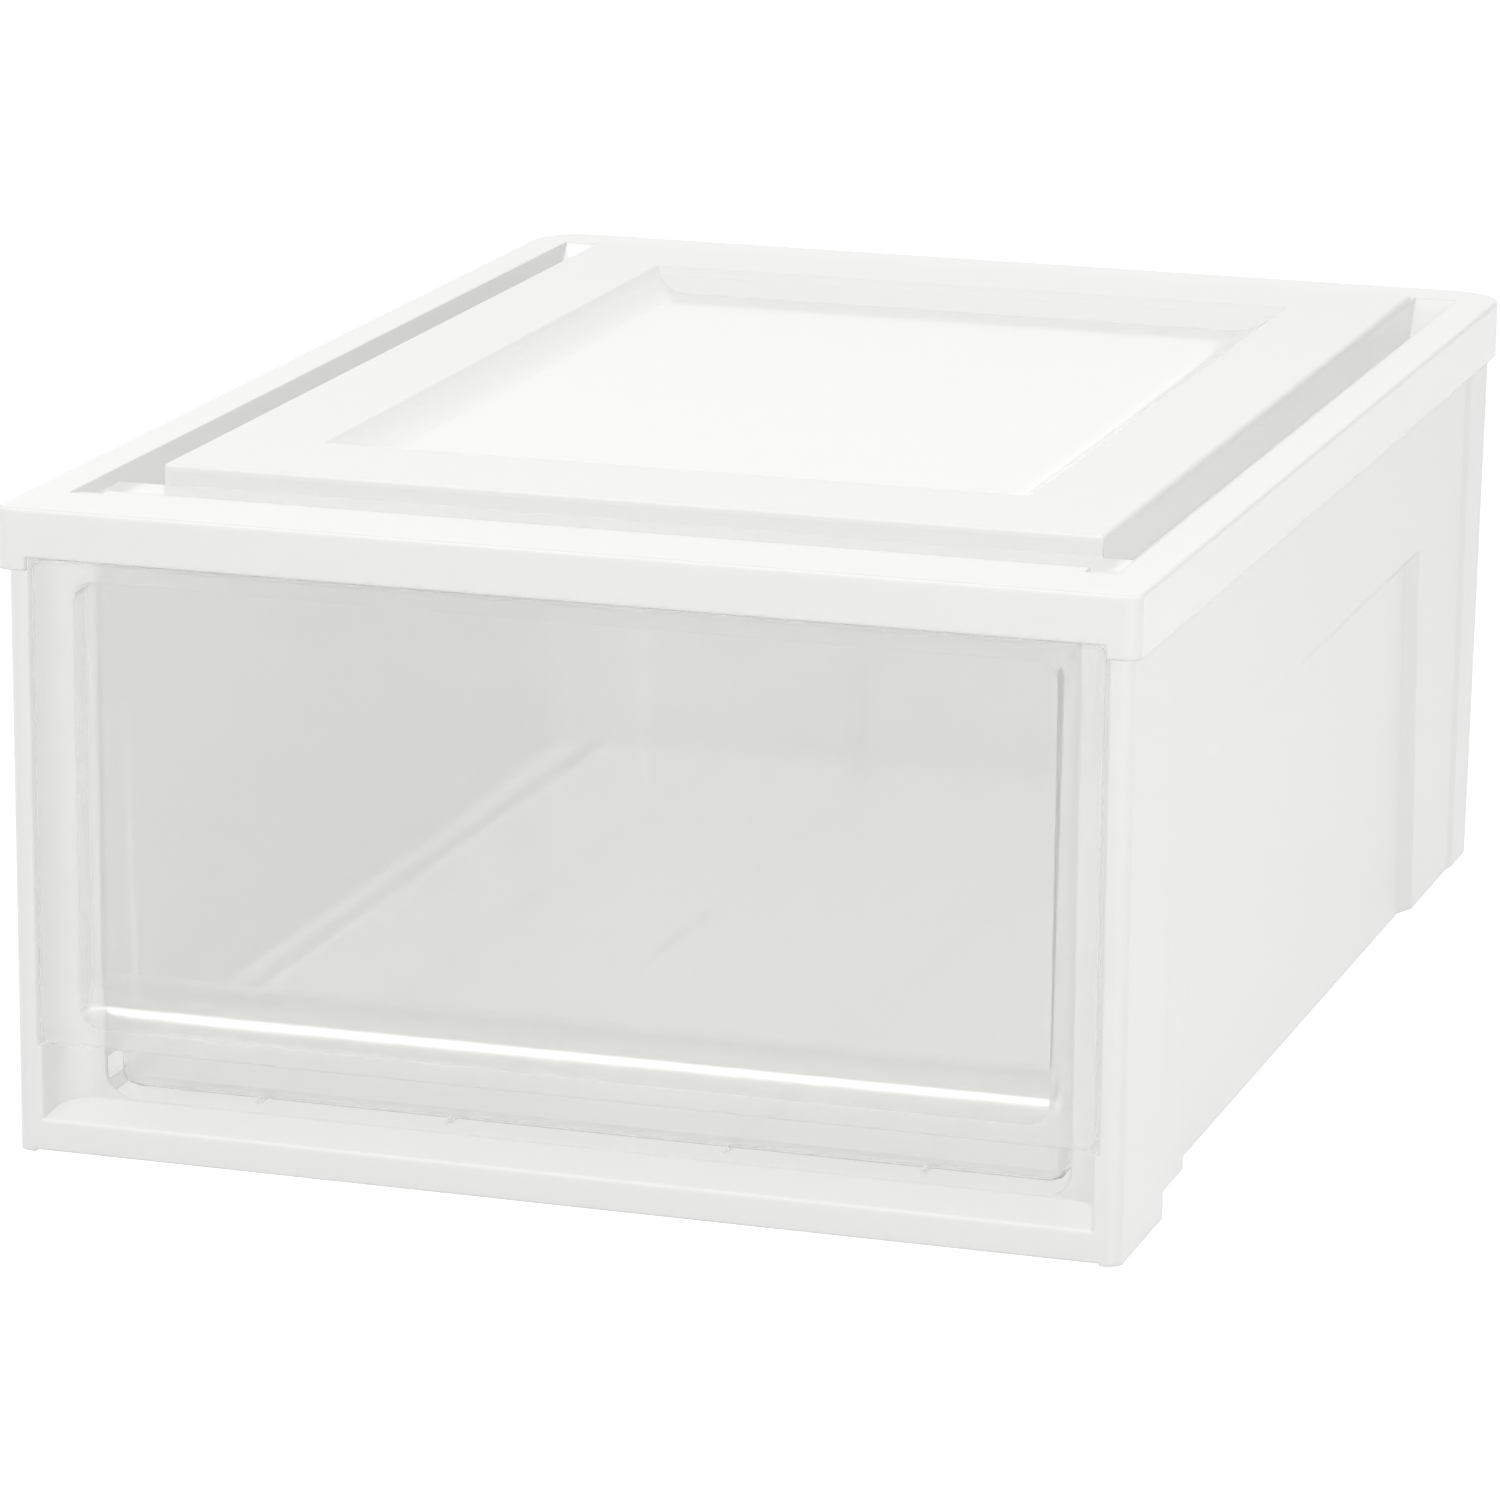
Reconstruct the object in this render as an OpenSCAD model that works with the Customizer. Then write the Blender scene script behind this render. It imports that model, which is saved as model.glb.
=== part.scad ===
// Stackable drawer box for crafts and small parts, built from three mouldings.
// A white cabinet is open at the front, a white cover is pressed over its top,
// and one clear drawer slides out along -Y. Grooves in the cover and a frame of
// ribs under the cabinet let the boxes stand on each other.
// Millimetres. +X is right, +Y is the back and +Z is up. The origin is the
// middle of the footprint, on the floor.

/* [Overall] */
// Width over the top cover
unit_w = 400; // [370:1:440]
// Depth over the top cover
unit_d = 560; // [500:1:600]
// Height to the top of the plateau
unit_h = 230; // [215:1:255]
// Wall of the cabinet and of the cover
wall = 2.4; // [2:0.1:2.8]
// Radius of the rounded outer edges
edge_r = 1.4; // [0.8:0.1:1.4]

/* [Top cover] */
// Radius of the two front corners, of the cover and the cabinet
front_r = 5; // [4:0.5:8]
// Radius of the cover's two rear corners
rear_r = 20.5; // [16:0.5:30]
// Height of the skirt below the rim
skirt_h = 21.5; // [18.5:0.5:26]
// Height of the front fascia between the posts
fascia_h = 16.8; // [15:0.2:18]
// Width of the flat rim along each side
rim_side = 15.5; // [13:0.5:18]
// Depth of the flat rim along the front
rim_front = 36; // [30:1:42]
// Depth of the flat rim along the back
rim_back = 31; // [26:0.5:38]
// Width of each stacking groove
groove_w = 16.5; // [14:0.5:19]
// Depth of each stacking groove below the rim
groove_depth = 14; // [10:0.5:15]
// Run of the slope that ends each groove at the back
groove_ramp = 9; // [5:0.5:12]
// Width of the channel across the front
channel_w = 37; // [30:1:44]
// Depth of the channel below the rim
channel_depth = 5; // [3:0.5:7]
// Width of the shallow pocket at each end of the front rim
pocket_w = 11; // [6:0.5:14]
// Front to back size of that pocket
pocket_d = 6.7; // [4:0.1:9]
// Depth of that pocket
pocket_depth = 1; // [0.5:0.1:1.5]
// Height of the plateau above the rim
plateau_rise = 2.5; // [1.5:0.1:4]

/* [Well in the plateau] */
// Depth of the well below the plateau
well_depth = 7.5; // [4:0.5:9]
// Width of the plateau left beside the well
well_side = 39.5; // [30:0.5:60]
// Depth of the plateau left in front of the well
well_front = 51; // [36:1:64]
// Depth of the plateau left behind the well
well_back = 40.5; // [32:0.5:60]
// Run of the concave wall at each side of the well
well_side_run = 17.5; // [12:0.5:24]
// Run of the plane slope at the front and back of the well
well_end_run = 15.2; // [10:0.1:20]
// Distance of each rib under the well from the middle
cover_rib_x = 50; // [30:1:80]
// Depth of those ribs
cover_rib_h = 5; // [3:0.5:7]
// Thickness of the ribs under the cover and of the drawer
rib_t = 1.6; // [1.2:0.1:2.4]

/* [Cabinet shell] */
// Gap between the cover's skirt and the cabinet
cover_fit = 0.4; // [0.3:0.1:0.8]
// How far the front columns draw in from top to bottom
column_draft = 0.3; // [0.1:0.1:2]
// Depth of the front columns
column_d = 56; // [48:1:80]
// How far the side panels lie inside the columns at the top
panel_step = 1.2; // [0.5:0.1:2]
// How far the side panels lie inside the cabinet's top outline at the bottom
panel_draft = 3; // [1.5:0.1:5]
// How far the rear columns draw in from top to bottom
rear_draft = 2; // [0.5:0.1:3]
// How far the back draws in from top to bottom
back_draft = 6; // [1:0.1:8]
// Front to back size of the rear columns, corner included
rear_column_d = 51; // [40:1:60]
// Run of the slanted face in front of a rear column
rear_step_run = 5.5; // [4:0.1:10]
// Height of the shell's lower edge behind the front columns
side_rise = 6; // [3:0.5:10]

/* [Sunk side panel] */
// Depth of the sunk panel
sunk_depth = 3.6; // [2.4:0.1:4.5]
// Height of the sunk panel at its full depth
sunk_h = 146; // [110:1:165]
// Height of the slanted face over the sunk panel
sunk_slope = 4.5; // [3:0.5:10]
// Distance of the sunk panel's front end from the cabinet's front
sunk_front = 93; // [80:1:130]
// Distance of the sunk panel's rear end from the cabinet's back, at the panel's top
sunk_back = 131.5; // [110:0.5:150]
// How far that rear end leans back from the panel's top to the floor
sunk_lean = 11; // [0:0.5:16]
// Run of the slanted face at the rear end of the sunk panel
sunk_run = 9; // [6:0.5:14]

/* [Cabinet front] */
// Width of the front posts at the top
post_w = 8.2; // [7:0.1:10]
// How far the mouth narrows from the top to the shoulders
mouth_draft = 0.3; // [0.1:0.1:2]
// Height of the shoulders in the mouth
shoulder_h = 38; // [34:0.5:44]
// How far each shoulder reaches in
shoulder_step = 1.6; // [1:0.1:2.5]
// Depth of the mouth, from the posts to the flange
mouth_d = 23.5; // [20:0.1:27]
// Radius where a side of the mouth turns into the flange
mouth_r = 12; // [8:0.5:13]
// Height of the sill at the front
sill_h = 12; // [9:0.5:13]
// Rise of the sill from front to flange
sill_rise = 2; // [1:0.1:2.2]
// Half width of the passage inside the flange
passage_hw = 173.5; // [160:0.5:175]
// Radius in the passage's lower corners
passage_r = 9; // [6:0.5:10]
// Gap between the cover's fascia and the header behind it, measured in height
header_gap = 0.5; // [0.3:0.1:1]
// Width of each front foot
foot_w = 7; // [5:0.5:9]
// Height of the front rail's lower edge above the floor
rail_rise = 0.8; // [0.5:0.1:2]

/* [Cabinet floor] */
// Height of the cabinet floor's upper face
floor_h = 14.5; // [14.3:0.1:18]
// Clearance of the locating ribs round the plateau of the box below
stack_fit = 1.8; // [1:0.1:3]
// Height of the rails that guide the drawer
guide_h = 5.5; // [3:0.5:8]
// Distance of each drawer stop from the middle
stop_x = 60; // [40:1:100]
// Height of the drawer stops
stop_h = 45; // [20:1:80]

/* [Drawer front] */
// Gap between the drawer front and the posts
front_gap = 1; // [0.6:0.1:1.5]
// Gap between the drawer front and the shoulders below it
lip_gap = 0.8; // [0.5:0.1:2]
// Gap between the drawer front and the fascia above it
head_gap = 1.2; // [0.8:0.1:3]
// Thickness of the drawer's walls
drawer_wall = 2.2; // [1.8:0.1:2.6]
// Radius of the drawer front's corners
plate_r = 4; // [2:0.5:6]
// Width of the border at each side of the dish
border_side = 15.6; // [13:0.1:19]
// Height of the border below the dish
border_bottom = 7.2; // [5:0.1:10]
// Height of the border above the dish
border_top = 6.5; // [5:0.1:10]
// Depth of the dish, from the border to the window
dish_depth = 11.8; // [9:0.1:13.5]
// Radius of the dish's corners
dish_r = 7; // [4:0.5:10]
// Height of the concave scoop at the foot of the dish
scoop_h = 17.6; // [14:0.1:24]

/* [Drawer tray] */
// Gap between the tray and each side of the passage
tray_gap = 2; // [1:0.1:4]
// How far each side of the tray draws in from top to bottom
tray_draft = 1.6; // [0.5:0.1:3]
// How far each side of the tray draws in from front to back
tray_taper = 3; // [0:0.1:5]
// Gap between the tray and the cabinet's back, at the floor
tray_back_space = 5.8; // [3:0.1:20]
// Gap between the tray's rim and the underside of the grooves
tray_headroom = 11.1; // [8:0.1:60]
// Radius of the tray's upright rear corners
tray_rear_r = 22; // [12:1:30]
// Radius of the tray's upright front corners
tray_front_r = 4; // [3:0.5:6]
// Radius of the edge round the tray's bottom
tray_foot_r = 5; // [3:0.5:8]
// Height of the shelf behind the scoop
shelf_h = 58; // [54:0.5:62]
// Distance of the tray's lower front wall from the drawer's face
grip_d = 28; // [26:0.1:42]
// Depth of the runners under the tray
runner_h = 2.2; // [1.5:0.1:3]
// Distances of the runners from the middle
inner_runner_x = 50; // [30:1:70]
outer_runner_x = 120; // [90:1:140]
// Gap under the runners
runner_gap = 0.3; // [0.2:0.1:0.6]
// Distance of the cross rib from the tray's back
cross_rib_y = 109; // [60:1:160]

/* [Hidden] */
over = 1; // how far a cutting solid reaches past the face that it cuts
reach = 40; // how far a drafted form runs on past the planes that end it
edge_steps = 3; // facets across a rounded edge
white = "#f4f4f3";
clear = [0.85, 0.87, 0.88, 0.55];

// Cover: levels, and the edges of its top from outside to inside
rim_z = unit_h - plateau_rise;
skirt_z = rim_z - skirt_h;
fascia_z = rim_z - fascia_h;
groove_z = rim_z - groove_depth;
channel_z = rim_z - channel_depth;
well_z = unit_h - well_depth;
groove_hw = unit_w / 2 - rim_side;
plateau_hw = groove_hw - groove_w;
channel_y = -unit_d / 2 + rim_front;
plateau_front = channel_y + channel_w;
plateau_back = unit_d / 2 - rim_back;

// Cabinet: outline at its top edge, and levels
body_hw = unit_w / 2 - wall - cover_fit;
body_front = -unit_d / 2 + wall + cover_fit;
body_back = unit_d / 2 - wall - cover_fit;
body_h = rim_z - wall;
body_rear_r = rear_r - wall - cover_fit;
mouth_top = fascia_z + header_gap;
flange_y = body_front + mouth_d;

// Half widths of the mouth: at its top, over the shoulders and under them
mouth_hw = body_hw - post_w;
shoulder_hw = mouth_hw - mouth_draft;
sill_hw = shoulder_hw - shoulder_step;

// Drawer: front plate, dish and tray
plate_z = shoulder_h + lip_gap;
plate_top = fascia_z - head_gap;
plate_hw = mouth_hw - front_gap;
plate_low_hw = shoulder_hw - front_gap;
dish_z = plate_z + border_bottom;
dish_top = plate_top - border_top;
window_y = body_front + dish_depth;
scoop_r = (dish_depth ^ 2 + scoop_h ^ 2) / (2 * dish_depth);
tray_z = floor_h + runner_h + runner_gap;
tray_rim_z = groove_z - wall - tray_headroom;
tray_hw = passage_hw - tray_gap;
tray_back = body_back - back_draft - wall - tray_back_space;
grip_y = body_front + grip_d;

function mix(a, b, k) = a + (b - a) * k;

// Points of an arc round the centre c, from angle a0 to a1
function arc(c, r, a0, a1, n) =
    [for (i = [0:n]) let (a = mix(a0, a1, i / n)) c + r * [cos(a), sin(a)]];

// Whole outline from its right half, which runs from front to back
function mirrored(half) =
    concat(half, [for (i = [len(half) - 1:-1:0]) [-half[i][0], half[i][1]]]);

// Solid through flat rings of [height, outline], each with as many points
module loft(rings) {
    n = len(rings[0][1]);
    top = (len(rings) - 1) * n;
    points = [for (ring = rings) for (p = ring[1]) [p[0], p[1], ring[0]]];
    sides = [for (k = [0:n:top - n]) for (i = [0:n - 1])
        let (a = k + i, b = k + (i + 1) % n)
        each [[a, a + n, b + n], [a, b + n, b]]];
    floor_face = [for (i = [0:n - 1]) i];
    top_face = [for (i = [n - 1:-1:0]) top + i];
    polyhedron(points, concat([floor_face], sides, [top_face]));
}

// Heights and insets of an upright form from z0 to z1, its top edge rounded by r
function rounded_rings(z0, z1, r) =
    r == 0 ? [[z0, 0], [z1, 0]] : concat([[z0, 0]], [for (i = [0:edge_steps])
        let (a = 90 * i / edge_steps) [z1 - r + r * sin(a), r * (1 - cos(a))]]);

// Outline in Y and Z, extruded across the width
module across(half_width) {
    rotate([90, 0, 90])
        translate([0, 0, -half_width])
            linear_extrude(2 * half_width) children();
}

// Outline in X and Z, extruded from y0 to y1
module along(y0, y1) {
    translate([0, y1, 0])
        rotate([90, 0, 0])
            linear_extrude(y1 - y0) children();
}

// Box between two corners
module block(low, high) {
    translate(low) cube(high - low);
}

// Slice of a form between two heights
module slice(z0, z1) {
    intersection() {
        children();
        block([-unit_w, -unit_d, z0], [unit_w, unit_d, z1]);
    }
}

module both_sides() {
    children();
    mirror([1, 0, 0]) children();
}

// ---- Top cover ----

// Plan of the cover, t inside its outline
function cover_plan(t) =
    let (x = unit_w / 2, y = unit_d / 2)
    mirrored(concat(
        arc([x - front_r, -y + front_r], front_r - t, -90, 0, 8),
        arc([x - rear_r, y - rear_r], rear_r - t, 0, 90, 16)
    ));

// Plan of the plateau, t inside its outline
function plateau_plan(t) =
    mirrored([[plateau_hw - t, plateau_front + t], [plateau_hw - t, plateau_back - t]]);

// Space of the right groove, grown by t into the cover
module groove_space(t) {
    ramp_shift = t * norm([groove_ramp, groove_depth]) / groove_depth;
    slope = groove_ramp / groove_depth;
    lead = plateau_rise + over;
    foot = plateau_back + ramp_shift - t * slope;
    translate([(groove_hw + plateau_hw) / 2, 0, 0])
        across(groove_w / 2 + t)
            polygon([
                [plateau_front - t, groove_z - t],
                [foot, groove_z - t],
                [foot + (groove_depth + t + lead) * slope, rim_z + lead],
                [plateau_front - t, rim_z + lead]
            ]);
}

// Space of the channel across the front
module channel_space(t) {
    block(
        [-groove_hw - t, channel_y - t, channel_z - t],
        [groove_hw + t, plateau_front + t, unit_h + over]
    );
}

// Space of the well: concave side walls crossed with plane end slopes
module well_space() {
    side_r = (well_side_run ^ 2 + well_depth ^ 2) / (2 * well_depth);
    side_end = atan2(well_depth - side_r, well_side_run);
    top_hw = plateau_hw - well_side;
    front = plateau_front + well_front;
    back = plateau_back - well_back;
    lead = wall + over;
    intersection() {
        along(front, back)
            polygon(mirrored(concat(
                arc([top_hw - well_side_run, well_z + side_r], side_r, -90, side_end, 10),
                [[top_hw, unit_h + lead]]
            )));
        across(top_hw)
            polygon([
                [front, unit_h], [front + well_end_run, well_z],
                [back - well_end_run, well_z], [back, unit_h],
                [back, unit_h + lead], [front, unit_h + lead]
            ]);
    }
}

// Solid under the cover's top face, t inside it
module cover_form(t) {
    low = skirt_z - (t > 0 ? over : 0);
    r = t > 0 ? 0 : edge_r;
    difference() {
        union() {
            loft([for (ring = rounded_rings(low, rim_z - t, r)) [ring[0], cover_plan(t + ring[1])]]);
            loft([for (ring = rounded_rings(low, unit_h - t, r)) [ring[0], plateau_plan(t + ring[1])]]);
        }
        both_sides() groove_space(t);
        difference() {
            channel_space(t);
            block(
                [-plateau_hw + t, plateau_front + t, low],
                [plateau_hw - t, plateau_back - t, unit_h + 2 * over]
            );
        }
        translate([0, 0, -t]) well_space();
    }
}

module top_cover() {
    rib_top = well_z - wall;
    color(white) {
        difference() {
            cover_form(0);
            cover_form(wall);
            // Space between the posts, under the fascia
            block(
                [-mouth_hw, -unit_d / 2 - over, skirt_z - over],
                [mouth_hw, body_front + wall, fascia_z]
            );
            both_sides()
                block(
                    [groove_hw - pocket_w, channel_y - pocket_d, rim_z - pocket_depth],
                    [groove_hw, channel_y + over, rim_z + over]
                );
        }
        both_sides()
            block(
                [cover_rib_x - rib_t / 2, plateau_front + well_front + well_end_run, rib_top - cover_rib_h],
                [cover_rib_x + rib_t / 2, plateau_back - well_back - well_end_run, rib_top]
            );
    }
}

// ---- Cabinet ----

// Right half of the cabinet's plan at height z, t inside its outline.
// It runs along the front column, the side panel with its sunk part, and the
// rear column. Steps keep their thickness, so their corners shift by t.
function body_half(z, t) =
    let (
        k = z / body_h,
        column_x = body_hw - column_draft * (1 - k) - t,
        panel_x = body_hw - mix(panel_draft, panel_step, k) - t,
        rear_x = body_hw - rear_draft * (1 - k) - t,
        back = body_back - back_draft * (1 - k) - t,
        column_y = body_front + column_d - t,
        sunk_y0 = body_front + sunk_front - t,
        sunk_y1 = body_back - sunk_back + sunk_lean * (1 - z / sunk_h)
            + t * tan(atan2(sunk_depth, sunk_run) / 2),
        rear_y = body_back - rear_column_d + t * tan(atan2(rear_draft, rear_step_run) / 2),
        rise = clamp01((z - sunk_h) / sunk_slope),
        head = sunk_depth * clamp01(1 - z / (sunk_h + sunk_slope)),
        tail = sunk_depth * (1 - rise),
        parts = 8
    )
    concat(
        arc([column_x - front_r + t, body_front + front_r], front_r - t, -90, 0, 6),
        [[column_x, column_y], [panel_x, column_y + over], [panel_x, sunk_y0]],
        [for (i = [0:parts])
            [panel_x - mix(head, tail, i / parts), mix(sunk_y0 + over, sunk_y1, i / parts)]],
        [[panel_x, sunk_y1 + sunk_run], [panel_x, rear_y], [rear_x, rear_y + rear_step_run]],
        arc([rear_x - body_rear_r + t, back - body_rear_r + t], body_rear_r - t, 0, 90, 10)
    );

function clamp01(k) = min(1, max(0, k));

// Solid inside the cabinet's outline from z0 to z1, t inside it
module body_form(z0, z1, t) {
    levels = [-reach, 0, sunk_h / 3, sunk_h * 2 / 3, sunk_h, sunk_h + sunk_slope, body_h + reach];
    slice(z0, z1)
        loft([for (z = levels) [z, mirrored(body_half(z, t))]]);
}

// Right half of the mouth's plan, t outside its face, with the post's edge rounded
function mouth_half(hw, t) = concat(
    [[hw + t + edge_r, body_front - over]],
    arc([hw + t + edge_r, body_front + edge_r], edge_r, 270, 180, edge_steps),
    arc([hw - mouth_r, flange_y - mouth_r], mouth_r + t, 0, 90, 8)
);

// Half width of the mouth at height z, over the shoulders
function mouth_x(z) = mix(shoulder_hw, mouth_hw, (z - shoulder_h) / (mouth_top - shoulder_h));

// Space in front of the flange, over the sill and under the header
module mouth_space(t) {
    high = mouth_top + t;
    sill_back = sill_h + sill_rise;
    intersection() {
        union() {
            linear_extrude(shoulder_h)
                polygon(mirrored(mouth_half(sill_hw, t)));
            slice(shoulder_h - t, high)
                loft([for (z = [-reach, high + reach])
                    [z, mirrored(mouth_half(mouth_x(z), t))]]);
        }
        across(body_hw)
            polygon(concat(
                [[body_front - over, high], [body_front - over, sill_h - edge_r - t]],
                arc([body_front + edge_r, sill_h - edge_r - t], edge_r, 180, 90, edge_steps),
                [[flange_y, sill_back - t], [flange_y + t, sill_back - t], [flange_y + t, high]]
            ));
    }
}

// Passage of the tray through the flange, with rounded lower corners
module passage() {
    low = floor_h;
    along(flange_y - over, flange_y + wall + over)
        polygon(mirrored(concat(
            arc([passage_hw - passage_r, low + passage_r], passage_r, -90, 0, 8),
            [[passage_hw, mouth_top]]
        )));
}

// Ribs under the floor that stand round the plateau of the box below
module locating_frame() {
    x = plateau_hw + stack_fit;
    front = plateau_front - stack_fit;
    back = plateau_back + stack_fit;
    difference() {
        block([-x - wall, front - wall, 0], [x + wall, back + wall, floor_h - wall / 2]);
        block([-x, front, -over], [x, back, floor_h - wall / 2]);
    }
}

// Rails that keep the drawer straight, and ribs on the back that stop it
module drawer_guides() {
    intersection() {
        both_sides() {
            block(
                [passage_hw, flange_y + wall / 2, floor_h - wall / 2],
                [passage_hw + wall, tray_back, floor_h + guide_h]
            );
            block(
                [stop_x, tray_back + runner_gap, floor_h - wall / 2],
                [stop_x + wall, body_back, floor_h + stop_h]
            );
        }
        body_form(0, body_h, wall / 2);
    }
}

module cabinet_body() {
    foot_hw = body_hw - column_draft - foot_w;
    color(white) difference() {
        union() {
            difference() {
                body_form(0, body_h, 0);
                body_form(floor_h, body_h + over, wall);
                body_form(-over, floor_h - wall, wall);
                // Space under the shell's raised lower edge
                block([-body_hw - over, body_front + column_d, -over], [body_hw + over, unit_d, side_rise]);
            }
            intersection() {
                mouth_space(wall);
                body_form(0, body_h, 0);
            }
            locating_frame();
            drawer_guides();
        }
        mouth_space(0);
        passage();
        block([-foot_hw, body_front - over, -over], [foot_hw, body_front + wall, rail_rise]);
    }
}

// ---- Drawer ----

// Outline in X and Z between z0 and z1, with half widths x0 and x1 and corners r
function front_outline(z0, z1, x0, x1, r) =
    let (lean = atan2(x1 - x0, z1 - z0))
    mirrored(concat(
        arc([x0 - r, z0 + r], r, -90, -lean, 6),
        arc([x1 - r, z1 - r], r, -lean, 90, 6)
    ));

// Front plate of the drawer, its outer edge rounded
module front_plate() {
    rotate([90, 0, 0])
        loft([for (ring = rounded_rings(-body_front - drawer_wall, -body_front, edge_r))
            let (t = ring[1])
            [ring[0], front_outline(plate_z + t, plate_top - t, plate_low_hw - t, plate_hw - t, plate_r - t)]]);
}

// Half width of the drawer front at height z
function plate_x(z) = mix(plate_low_hw, plate_hw, (z - plate_z) / (plate_top - plate_z));

// Space of the dish and its scoop, grown by t into the drawer front
module dish_space(t) {
    low = dish_z - t;
    high = dish_top + t;
    scoop_z = dish_z + scoop_h;
    intersection() {
        along(body_front - over, window_y + t)
            polygon(front_outline(
                low, high, plate_x(dish_z) - border_side + t, plate_x(dish_top) - border_side + t, dish_r + t
            ));
        across(plate_hw) {
            translate([body_front - over, scoop_z])
                square([dish_depth + over + t, high - scoop_z]);
            intersection() {
                translate([window_y - scoop_r, scoop_z])
                    circle(scoop_r + t, $fn = 96);
                translate([body_front - over, low])
                    square([dish_depth + over + t, scoop_h + t + over]);
            }
        }
    }
}

// Half width of the tray at height z, at its front
function tray_x(z) = tray_hw - tray_draft * (tray_rim_z - z) / (tray_rim_z - tray_z);

// Right half of the tray's plan at height z, from the front y, t inside its outline
function tray_half(z, y, t, front_r) =
    let (
        x = tray_x(z) - t,
        back = tray_back - t,
        lean = atan2(tray_taper, back - y)
    )
    concat(
        arc([x - front_r, y + front_r], front_r, -90, lean, 4),
        arc([x - tray_taper - tray_rear_r + t, back - tray_rear_r + t], tray_rear_r - t, lean, 90, 12)
    );

// Solid inside the tray's outline from z0 to z1, t inside it, with a rounded bottom edge
module tray_form(y, z0, z1, t) {
    steps = 4;
    foot_r = tray_foot_r - t;
    slice(z0, z1)
        loft([for (i = [-1:steps + 1])
            let (
                a = 90 * clamp01(i / steps),
                inset = foot_r * (1 - sin(a)),
                z = i < 0 ? z0 - reach : i > steps ? z1 + reach : z0 + foot_r * (1 - cos(a))
            )
            [z, mirrored(tray_half(z, y + inset, t + inset, tray_front_r - t))]]);
}

// Tray with its nose, which reaches forward over the finger grip to the window
module tray() {
    t = drawer_wall;
    window_back = window_y + t;
    difference() {
        union() {
            tray_form(grip_y, tray_z, tray_rim_z, 0);
            nose(window_y, shelf_h - t, tray_rim_z, 0);
        }
        tray_form(grip_y + t, tray_z + t, tray_rim_z + over, t);
        nose(window_back, shelf_h, tray_rim_z + over, t);
    }
}

// Forward part of the tray, t inside its sides
module nose(y, z0, z1, t) {
    back = grip_y + tray_front_r + t;
    slice(z0, z1)
        loft([for (z = [-reach, z1 + reach])
            [z, mirrored([[tray_x(z) - t, y], [tray_x(z) - t, back]])]]);
}

// Runners under the tray and the rib that crosses them
module runners() {
    front = grip_y + tray_foot_r;
    back = tray_back - tray_rear_r;
    for (x = [-outer_runner_x, -inner_runner_x, inner_runner_x, outer_runner_x])
        block(
            [x - rib_t / 2, front, tray_z - runner_h],
            [x + rib_t / 2, back, tray_z + drawer_wall / 2]
        );
    block(
        [-outer_runner_x, tray_back - cross_rib_y, tray_z - runner_h / 2],
        [outer_runner_x, tray_back - cross_rib_y + rib_t, tray_z + drawer_wall / 2]
    );
}

module drawer() {
    color(clear) difference() {
        union() {
            front_plate();
            intersection() {
                dish_space(drawer_wall);
                block(
                    [-plate_hw, body_front, plate_z],
                    [plate_hw, window_y + drawer_wall, plate_top]
                );
            }
            tray();
            runners();
        }
        dish_space(0);
    }
}

cabinet_body();
top_cover();
drawer();
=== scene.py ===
import math

import bpy
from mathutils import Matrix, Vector

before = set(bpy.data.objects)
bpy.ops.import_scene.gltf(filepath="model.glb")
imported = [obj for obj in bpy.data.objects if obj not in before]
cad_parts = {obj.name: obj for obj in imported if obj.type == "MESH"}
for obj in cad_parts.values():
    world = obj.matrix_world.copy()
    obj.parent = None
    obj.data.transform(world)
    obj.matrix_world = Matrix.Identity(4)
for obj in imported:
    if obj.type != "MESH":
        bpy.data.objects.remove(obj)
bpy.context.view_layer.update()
print("frame loaded:", sorted(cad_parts))

mm = 0.001
white = "#ffffff"


# sRGB hex as linear RGBA
def linear(hexColour):
    parts = [int(hexColour[i:i + 2], 16) / 255 for i in (1, 3, 5)]
    return [c / 12.92 if c <= 0.04045 else ((c + 0.055) / 1.055) ** 2.4 for c in parts] + [1.0]


# one node with its settings and inputs: a value is set, a socket is linked,
# and i0 is the input of that number
def addNode(tree, kind, settings=None, **links):
    node = tree.nodes.new(kind)
    for name, value in (settings or {}).items():
        setattr(node, name, value)
    for name, value in links.items():
        byNumber = name[1:].isdigit()
        socket = node.inputs[int(name[1:])] if byNumber else node.inputs[name.replace("_", " ")]
        if isinstance(value, bpy.types.NodeSocket):
            tree.links.new(value, socket)
        else:
            socket.default_value = value
    return node


def newMaterial(name):
    material = bpy.data.materials.new(name)
    material.use_nodes = True
    material.node_tree.nodes.clear()
    return material


whitePolypropylene = dict(
    colour="#f6f6f4",       # titanium white masterbatch, a touch warm
    roughness=0.34,         # satin tool finish
    ior=1.49,
    glow=0.3,               # share of the light that wanders inside the wall
    scatterMm=3.0,          # how far it wanders
    passShare=0.95,         # share of the room's light that passes a wall: far more than a real
                            # one lets through, as the inside comes out too dark with less
    grainMm=0.9,            # fine spark texture, coarser than the real 0.1 mm so that it shows
    grainHeightMm=0.004,
    waveMm=95,              # slow sink of large moulded faces
    waveHeightMm=0.05,
    edgeMm=1.0,             # small rounding that every moulded edge has
)

coverPolypropylene = dict(
    whitePolypropylene,
    polish=0.1,             # roughness of the sunk panel; the raised part round it is satin
    polishedMm=223.5,       # height up to which it is polished
    satinMm=229,            # height from which it is satin
    waveMm=60,              # it dips and swells a little, which bends what it mirrors
    waveHeightMm=0.1,
)

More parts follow.
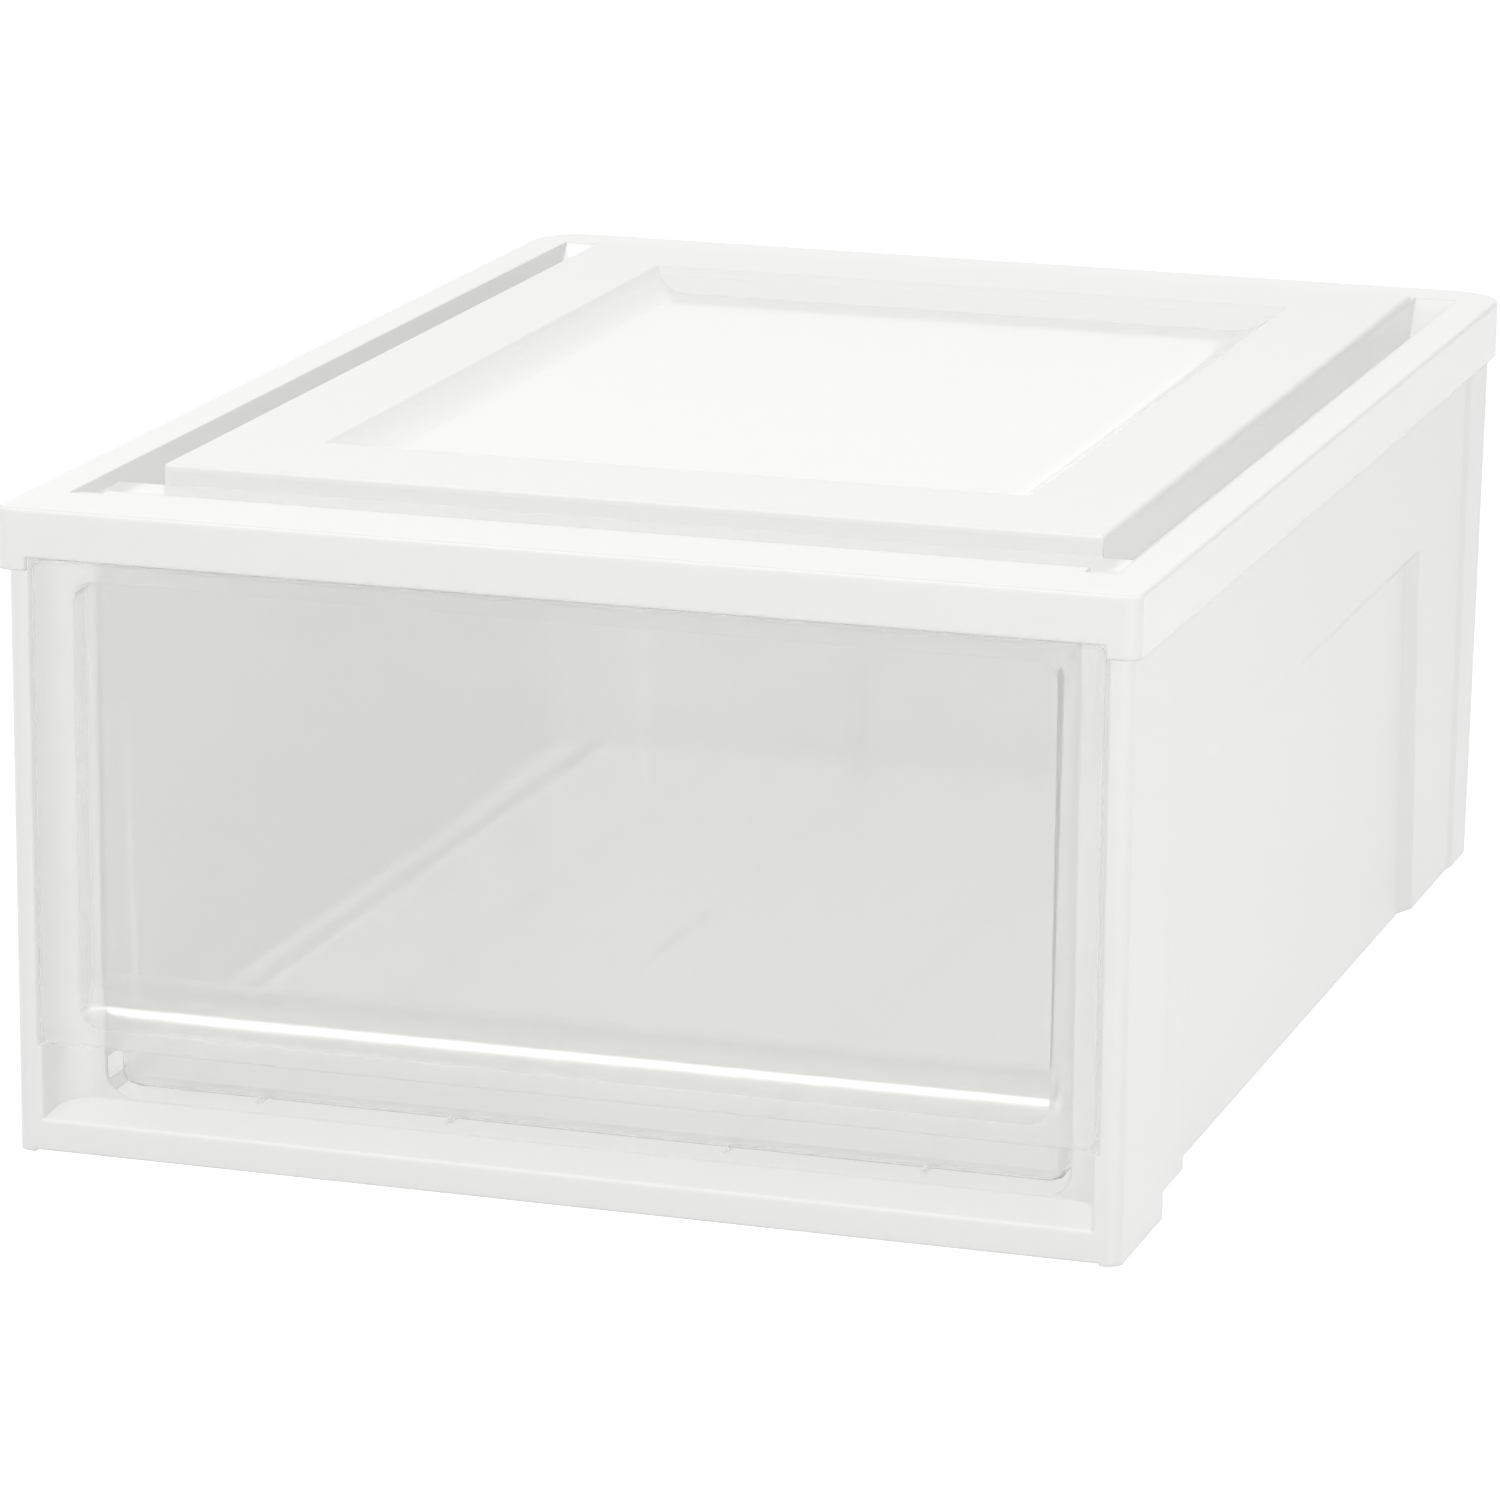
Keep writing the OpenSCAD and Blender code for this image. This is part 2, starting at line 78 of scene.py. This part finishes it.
clearPolypropylene = dict(
    colour="#f9f9f7",       # natural, nearly colourless; each wall takes a little light
    roughness=0.1,
    bend=1.02,              # index of refraction of the wall, far below the real 1.49, with
                            # which the edges of thin walls go black
    ior=1.49,               # of the glossy skin
    skinRoughness=0.06,     # polished mould
    clearness=0.88,         # the rest of the light is scattered, which makes the wall milky
    scatterMm=2.5,
    waveMm=60,
    waveHeightMm=0.03,
    edgeMm=0.25,
)

surfaceDetail = dict(edgeSamples=6, waveDetail=1.0, grainDetail=2.0)


# normal of a moulded face: rounded edges, slow waves and fine grain
def mouldedSurface(tree, look):
    place = addNode(tree, "ShaderNodeTexCoord").outputs["Object"]
    edge = addNode(
        tree, "ShaderNodeBevel", dict(samples=surfaceDetail["edgeSamples"]),
        Radius=look["edgeMm"] * mm
    )
    wave = addNode(
        tree, "ShaderNodeTexNoise", Vector=place, Scale=1 / (look["waveMm"] * mm),
        Detail=surfaceDetail["waveDetail"]
    )
    normal = addNode(
        tree, "ShaderNodeBump", Height=wave.outputs["Fac"],
        Distance=look["waveHeightMm"] * mm, Normal=edge.outputs["Normal"]
    )
    if look.get("grainMm"):
        grain = addNode(
            tree, "ShaderNodeTexNoise", Vector=place, Scale=1 / (look["grainMm"] * mm),
            Detail=surfaceDetail["grainDetail"]
        )
        normal = addNode(
            tree, "ShaderNodeBump", Height=grain.outputs["Fac"],
            Distance=look["grainHeightMm"] * mm, Normal=normal.outputs["Normal"]
        )
    return normal.outputs["Normal"]


# injection moulded white polypropylene: bright, satin, soft-edged, a little translucent.
# The eye meets the wall. Rays that only carry light pass it by its share, which is counted
# at the front of a surface alone, so that a wall counts once.
def mouldedWhite(name, look):
    material = newMaterial(name)
    tree = material.node_tree
    roughness = look["roughness"]
    if look.get("polish"):
        place = addNode(tree, "ShaderNodeTexCoord").outputs["Object"]
        height = addNode(tree, "ShaderNodeSeparateXYZ", Vector=place).outputs["Z"]
        roughness = addNode(
            tree, "ShaderNodeMapRange", Value=height,
            From_Min=look["polishedMm"] * mm, From_Max=look["satinMm"] * mm,
            To_Min=look["polish"], To_Max=look["roughness"]
        ).outputs["Result"]
    wall = addNode(
        tree, "ShaderNodeBsdfPrincipled", Base_Color=linear(look["colour"]), Roughness=roughness,
        IOR=look["ior"], Subsurface_Weight=look["glow"],
        Subsurface_Scale=look["scatterMm"] * mm, Subsurface_Radius=(1.0, 1.0, 1.0),
        Normal=mouldedSurface(tree, look)
    ).outputs["BSDF"]
    back = addNode(tree, "ShaderNodeNewGeometry").outputs["Backfacing"]
    share = addNode(
        tree, "ShaderNodeMath", dict(operation="MAXIMUM"), i0=back, i1=look["passShare"]
    ).outputs["Value"]
    through = addNode(tree, "ShaderNodeBsdfTransparent").outputs["BSDF"]
    carried = addNode(tree, "ShaderNodeMixShader", i0=share, i1=wall, i2=through).outputs["Shader"]
    ray = addNode(tree, "ShaderNodeLightPath").outputs
    lamp = addNode(tree, "ShaderNodeMixShader", i0=ray["Is Shadow Ray"], i1=wall, i2=carried)
    room = addNode(
        tree, "ShaderNodeMixShader", i0=ray["Is Diffuse Ray"], i1=lamp.outputs["Shader"],
        i2=carried
    )
    addNode(tree, "ShaderNodeOutputMaterial", Surface=room.outputs["Shader"])
    return material


# injection moulded clear polypropylene: glossy skin, and haze in the wall makes it milky
def mouldedClear(name, look):
    material = newMaterial(name)
    tree = material.node_tree
    wall = addNode(
        tree, "ShaderNodeBsdfPrincipled", Base_Color=linear(look["colour"]),
        Roughness=look["roughness"], IOR=look["bend"], Transmission_Weight=look["clearness"],
        Coat_Weight=1.0, Coat_IOR=look["ior"], Coat_Roughness=look["skinRoughness"],
        Subsurface_Weight=1.0, Subsurface_Scale=look["scatterMm"] * mm,
        Subsurface_Radius=(1.0, 1.0, 1.0), Normal=mouldedSurface(tree, look)
    ).outputs["BSDF"]
    through = addNode(tree, "ShaderNodeBsdfTransparent").outputs["BSDF"]
    ray = addNode(tree, "ShaderNodeLightPath").outputs
    lamp = addNode(tree, "ShaderNodeMixShader", i0=ray["Is Shadow Ray"], i1=wall, i2=through)
    addNode(tree, "ShaderNodeOutputMaterial", Surface=lamp.outputs["Shader"])
    return material


def dress(node, material):
    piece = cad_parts[node]
    piece.data.materials.clear()
    piece.data.materials.append(material)
    return piece


dress("cabinet_body", mouldedWhite("Moulded white polypropylene, cabinet", whitePolypropylene))
dress("top_cover", mouldedWhite("Moulded white polypropylene, cover", coverPolypropylene))
drawer = dress("drawer", mouldedClear("Moulded clear polypropylene, drawer", clearPolypropylene))
drawer.visible_diffuse = False    # light bounced from the white walls passes the clear ones
print("materials on the three mouldings")


studio = dict(
    floorSize=12.0,
    floorColour="#d8d8d8",      # what the floor sends back to the object
    floorLift=0.54,             # keeps the floor white for the eye, and its shadow pale
    worldStrength=0.49,
    whiteStrength=1.0,          # of the plain background that the eye sees
    lampsAim=(0, -0.27, 0.05),  # the drawer's foot
)

# softboxes: size in metres, azimuth and elevation in degrees, distance in metres from the point
# they aim at; one that isn't mirrored gives light and no highlight, as the flat top burns out
# where it mirrors a strong one
studioLamps = dict(
    key=dict(size=(1.0, 0.6), watts=11.5, azimuth=-34, elevation=56, distance=2.45, mirrored=True),
    fill=dict(size=(2.0, 1.4), watts=20, azimuth=36, elevation=20, distance=2.8, mirrored=False),
    side=dict(size=(1.6, 1.6), watts=9, azimuth=85, elevation=42, distance=2.8, mirrored=False),
    left=dict(size=(1.6, 1.6), watts=16, azimuth=-100, elevation=14, distance=2.8, mirrored=False),
    back=dict(size=(2.6, 1.3), watts=2.4, azimuth=-163, elevation=17, distance=2.8, mirrored=True),
    top=dict(size=(2.4, 2.4), watts=5, azimuth=0, elevation=88, distance=2.6, mirrored=False),
)

studioCamera = dict(
    place=(0.76368, -2.43598, 0.74427),
    turnDegrees=(75.6718, -0.4163, 17.9683),
    lensMm=170.95,
    sensorMm=36,
    farthest=100,               # in metres
)


# one for rays that see the studio, which is plain white to them, and zero for those that
# only carry light
def whiteForEye(tree):
    ray = addNode(tree, "ShaderNodeLightPath").outputs
    seen = addNode(
        tree, "ShaderNodeMath", dict(operation="MAXIMUM"),
        i0=ray["Is Camera Ray"], i1=ray["Is Glossy Ray"]
    ).outputs["Value"]
    return addNode(
        tree, "ShaderNodeMath", dict(operation="MAXIMUM"), i0=seen, i1=ray["Is Transmission Ray"]
    ).outputs["Value"]


def makeFloor():
    half = studio["floorSize"] / 2
    corners = [(-half, -half, 0), (half, -half, 0), (half, half, 0), (-half, half, 0)]
    mesh = bpy.data.meshes.new("studioFloor")
    mesh.from_pydata(corners, [], [(0, 1, 2, 3)])
    floor = bpy.data.objects.new("studioFloor", mesh)
    bpy.context.scene.collection.objects.link(floor)
    material = newMaterial("Pale studio paper")
    tree = material.node_tree
    paper = addNode(tree, "ShaderNodeBsdfDiffuse", Color=linear(studio["floorColour"]))
    shown = addNode(tree, "ShaderNodeBsdfDiffuse", Color=linear(white))
    lift = addNode(tree, "ShaderNodeEmission", Color=linear(white), Strength=studio["floorLift"])
    bright = addNode(
        tree, "ShaderNodeAddShader", i0=shown.outputs["BSDF"], i1=lift.outputs["Emission"]
    )
    mix = addNode(
        tree, "ShaderNodeMixShader", i0=whiteForEye(tree), i1=paper.outputs["BSDF"],
        i2=bright.outputs["Shader"]
    )
    # through the open drawer it is plain white and no brighter, so the clear walls show on it
    plain = addNode(
        tree, "ShaderNodeEmission", Color=linear(white), Strength=studio["whiteStrength"]
    )
    ray = addNode(tree, "ShaderNodeLightPath").outputs
    through = addNode(
        tree, "ShaderNodeMixShader", i0=ray["Is Transmission Ray"], i1=mix.outputs["Shader"],
        i2=plain.outputs["Emission"]
    )
    addNode(tree, "ShaderNodeOutputMaterial", Surface=through.outputs["Shader"])
    mesh.materials.append(material)


def makeWorld():
    world = bpy.data.worlds.new("Studio")
    bpy.context.scene.world = world
    world.use_nodes = True
    tree = world.node_tree
    tree.nodes.clear()
    soft = addNode(
        tree, "ShaderNodeBackground", Color=linear(white), Strength=studio["worldStrength"]
    )
    seen = addNode(
        tree, "ShaderNodeBackground", Color=linear(white), Strength=studio["whiteStrength"]
    )
    mix = addNode(
        tree, "ShaderNodeMixShader", i0=whiteForEye(tree), i1=soft.outputs["Background"],
        i2=seen.outputs["Background"]
    )
    addNode(tree, "ShaderNodeOutputWorld", Surface=mix.outputs["Shader"])


# point at that distance from the target; azimuth 0 is in front and positive is to the right
def around(azimuth, elevation, distance, target):
    a, e = math.radians(azimuth), math.radians(elevation)
    away = Vector((math.sin(a) * math.cos(e), -math.cos(a) * math.cos(e), math.sin(e)))
    return Vector(target) + distance * away


def softbox(name, look, target):
    lamp = bpy.data.lights.new(name, "AREA")
    lamp.shape = "RECTANGLE"
    lamp.size, lamp.size_y = look["size"]
    lamp.energy = look["watts"]
    box = bpy.data.objects.new(name, lamp)
    bpy.context.scene.collection.objects.link(box)
    box.location = around(look["azimuth"], look["elevation"], look["distance"], target)
    box.rotation_euler = (box.location - Vector(target)).to_track_quat("Z", "Y").to_euler()
    box.visible_glossy = look["mirrored"]


def makeCamera():
    lens = bpy.data.cameras.new("studioCamera")
    lens.sensor_width = studioCamera["sensorMm"]
    lens.lens = studioCamera["lensMm"]
    lens.clip_end = studioCamera["farthest"]
    camera = bpy.data.objects.new("studioCamera", lens)
    bpy.context.scene.collection.objects.link(camera)
    camera.location = studioCamera["place"]
    camera.rotation_euler = [math.radians(a) for a in studioCamera["turnDegrees"]]
    bpy.context.scene.camera = camera


makeFloor()
makeWorld()
for lampName, lampLook in studioLamps.items():
    softbox(lampName + "Softbox", lampLook, studio["lampsAim"])
makeCamera()
bpy.context.scene.view_settings.view_transform = "Standard"
print("floor, light and camera ready")
